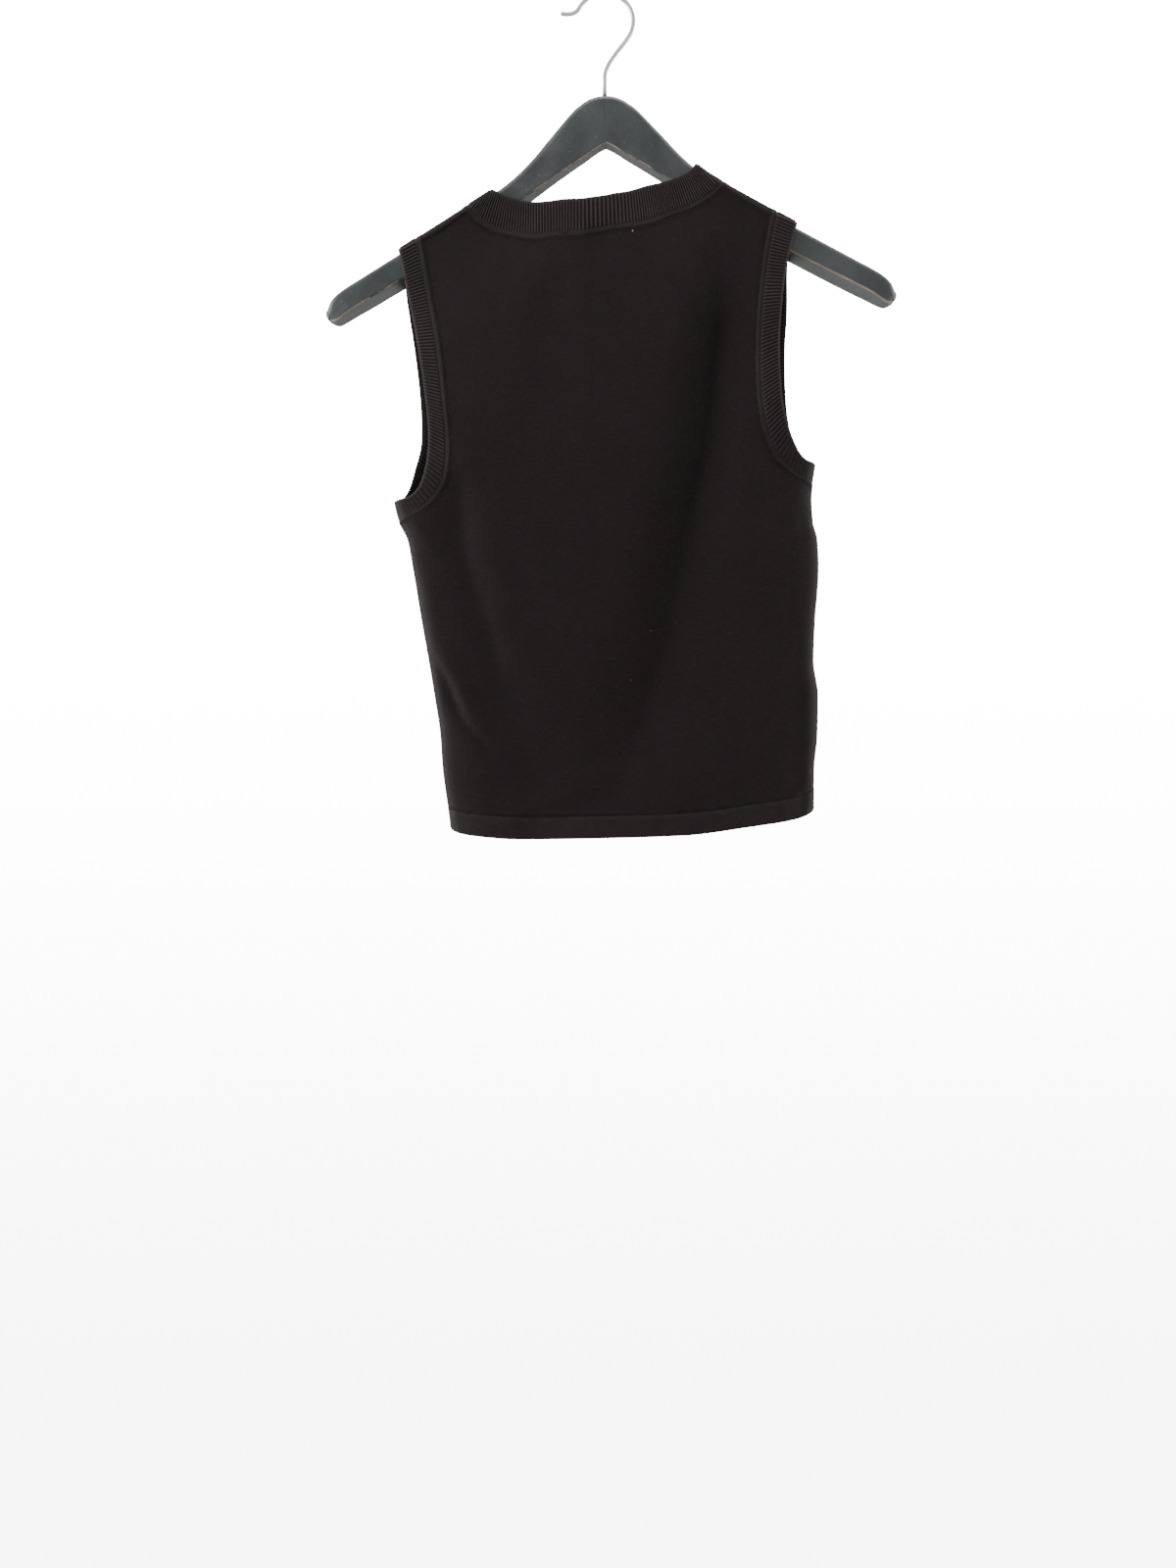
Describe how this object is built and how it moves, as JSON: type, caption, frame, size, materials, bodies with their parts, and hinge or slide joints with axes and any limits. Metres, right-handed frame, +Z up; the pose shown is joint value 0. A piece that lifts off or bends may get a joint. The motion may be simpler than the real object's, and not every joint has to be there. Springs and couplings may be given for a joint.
{
  "type": "sleeveless knitted sweater on a hanger",
  "caption": "Thin sleeveless pullover of fine plain knit with ribbed neck and armhole bands, hanging from a painted wooden hanger with a wire hook.",
  "frame": {"origin": "top of the inside of the hook, where it rests on a rail", "axes": "+Z up, -Y the way the garment's back faces, +X to the right of somebody who looks at the garment's back"},
  "size_m": [0.4428, 0.0608, 0.66],
  "materials": {
    "knit": "fine plain knit, matte",
    "rib": "fine rib knit, matte",
    "painted_wood": "dark paint, satin, worn to bare wood along the edges",
    "steel": "drawn wire, semi-gloss"
  },
  "bodies": {
    "root": {"back": "knit", "front": "knit", "neckband": "rib", "armband_left": "rib", "armband_right": "rib", "hem_back": "knit", "hem_front": "knit", "hanger_wood": "painted_wood", "hook": "steel"}
  },
  "joints": []
}
